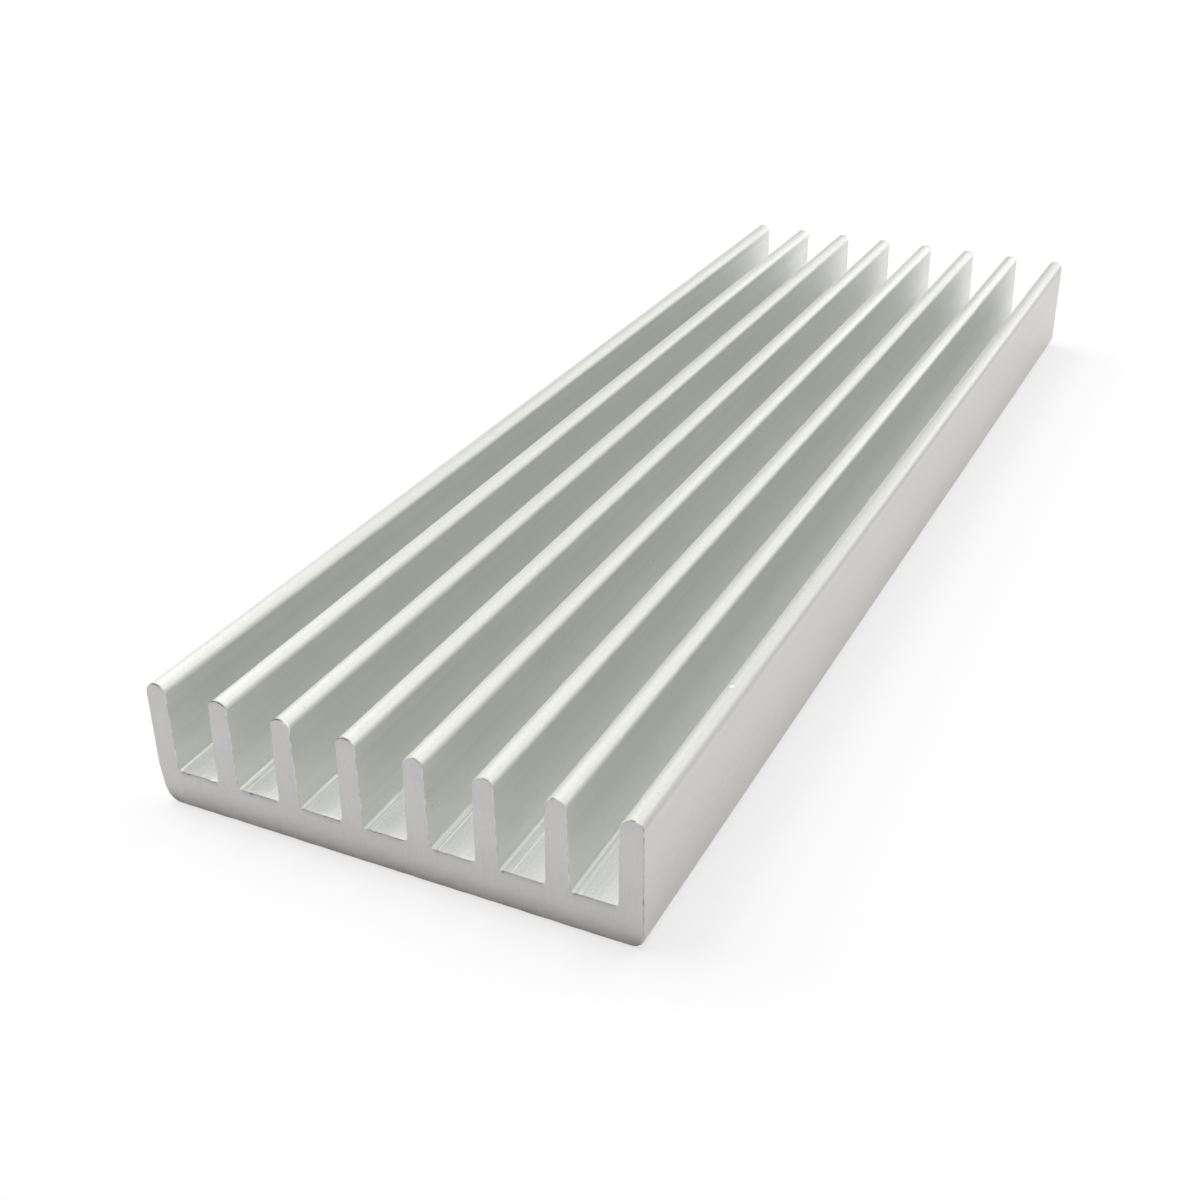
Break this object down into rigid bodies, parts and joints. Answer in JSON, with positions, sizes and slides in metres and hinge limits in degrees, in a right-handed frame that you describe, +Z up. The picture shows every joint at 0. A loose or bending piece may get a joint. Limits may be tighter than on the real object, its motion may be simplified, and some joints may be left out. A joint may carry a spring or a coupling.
{
  "type": "relay heat sink",
  "caption": "Extruded aluminium heat sink: a long flat base that seats against a relay, with round-tipped plate fins running its whole length and both ends sawn square.",
  "frame": {"origin": "middle of the flat underside", "axes": "+X across the fins, +Y along them, +Z up from the base to the fin tips"},
  "size_m": [0.0486, 0.15, 0.0127],
  "materials": {
    "aluminium": "bare aluminium as extruded, satin with fine lines along its length, ends sawn matt"
  },
  "bodies": {
    "root": {"heat_sink": "aluminium"}
  },
  "joints": []
}
